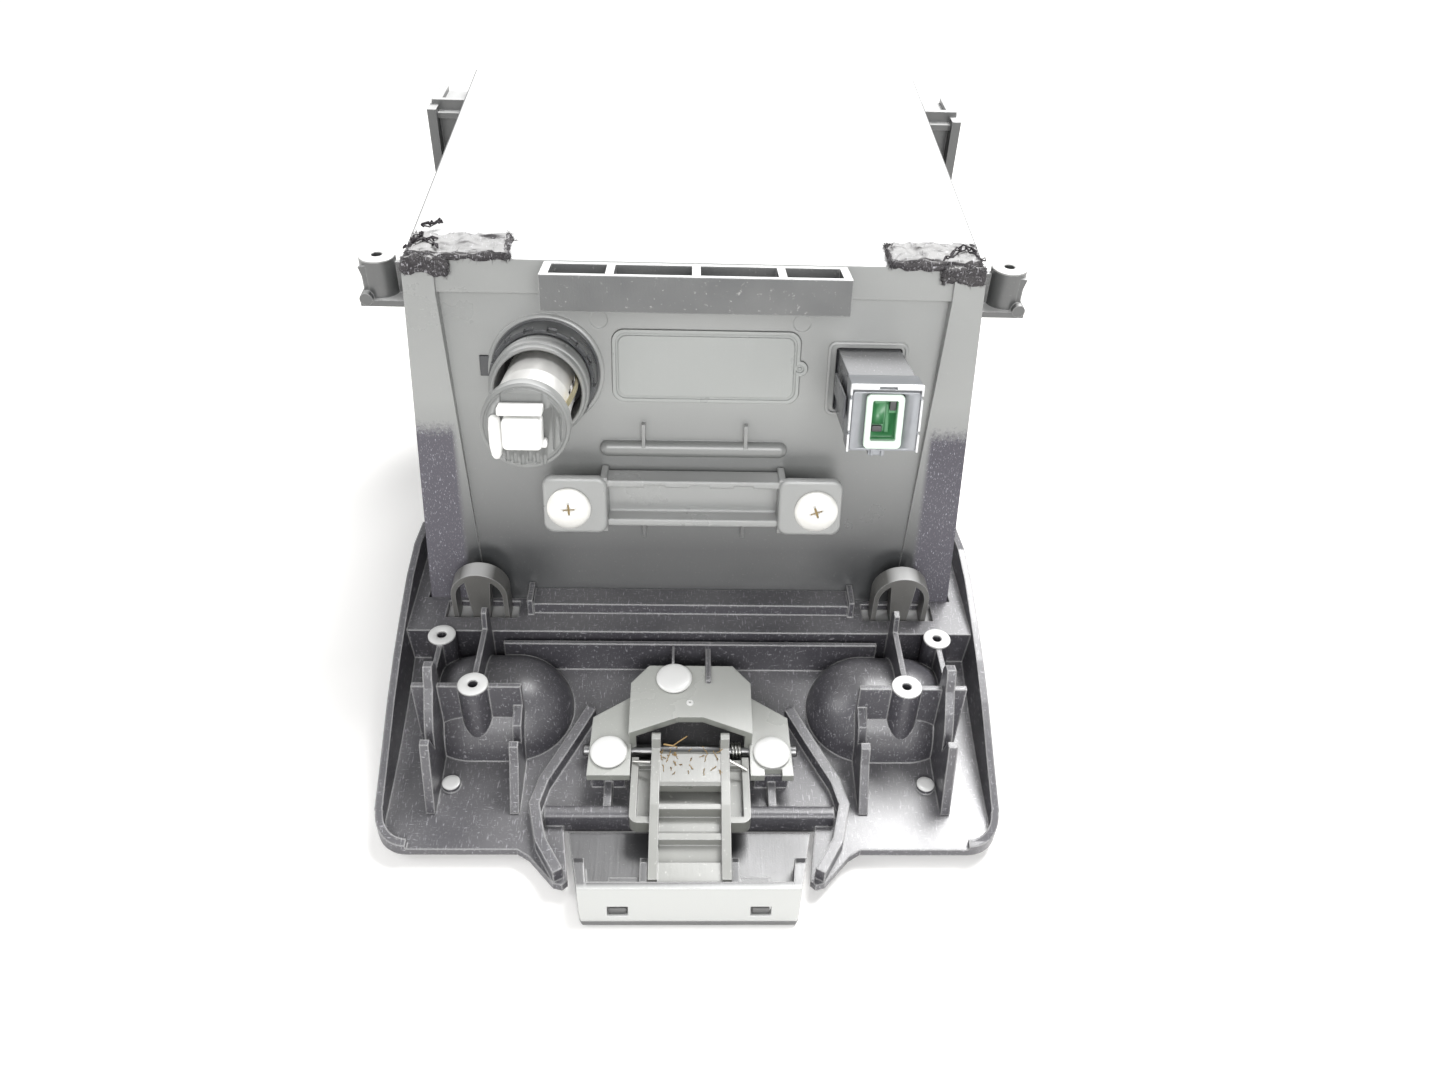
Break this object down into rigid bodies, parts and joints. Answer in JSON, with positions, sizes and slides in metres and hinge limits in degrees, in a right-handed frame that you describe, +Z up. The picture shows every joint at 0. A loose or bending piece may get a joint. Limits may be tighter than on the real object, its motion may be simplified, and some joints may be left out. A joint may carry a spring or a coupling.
{
  "type": "car center console",
  "caption": "Black plastic storage bin of a car's centre console with its face panel, latch, release handle, 12 volt socket and USB unit, lying face down.",
  "frame": {"origin": "middle of the bottom of the whole part, on the ground under the bin", "axes": "+X to the right of the socket wall as it is looked at, +Y from the release handle to the rear of the bin, +Z up"},
  "size_m": [0.2148, 0.3024, 0.1628],
  "materials": {
    "black_plastic": "fine grained satin",
    "black_gloss": "smooth satin",
    "grey_plastic": "satin",
    "bare_metal": "drawn",
    "zinc_steel": "plated",
    "white_plastic": "satin",
    "green_plastic": "satin",
    "olive_plastic": "satin",
    "spring_steel": "drawn",
    "pin_metal": "plated",
    "felt": "napped"
  },
  "bodies": {
    "console": {"storage_bin": "black_plastic", "locating_ledge": "black_plastic", "ear_left": "black_plastic", "ear_right": "black_plastic", "guide_wing_left": "black_plastic", "guide_wing_right": "black_plastic", "face_panel": "black_plastic", "latch_retainer": "black_gloss", "pivot_pin": "zinc_steel", "torsion_spring": "spring_steel", "socket_retaining_ring": "black_gloss", "socket_bezel": "grey_plastic", "socket_barrel": "bare_metal", "socket_contact": "pin_metal", "socket_end_cap": "grey_plastic", "socket_connector": "white_plastic", "blanking_plate": "black_gloss", "usb_housing": "black_gloss", "usb_clip_shell": "bare_metal", "usb_connector": "green_plastic", "usb_pins": "pin_metal", "cross_bracket": "black_plastic", "bracket_screw_left": "zinc_steel", "bracket_screw_right": "zinc_steel", "trim_clip_left": "olive_plastic", "trim_clip_right": "olive_plastic", "felt_strip_left": "felt", "felt_strip_right": "felt"},
    "lever": {"latch_lever": "olive_plastic", "release_handle": "black_gloss", "handle_trim": "black_plastic"}
  },
  "joints": [
    {"name": "latch_pivot", "type": "hinge", "parent": "console", "child": "lever", "pos_m": [0, -0.09451, 0.01397], "axis": [-1, 0, 0], "range_deg": [0, 9], "stiffness_Nm_per_rad": 0.35, "springref_deg": -20.05, "deforming": ["torsion_spring"]}
  ]
}
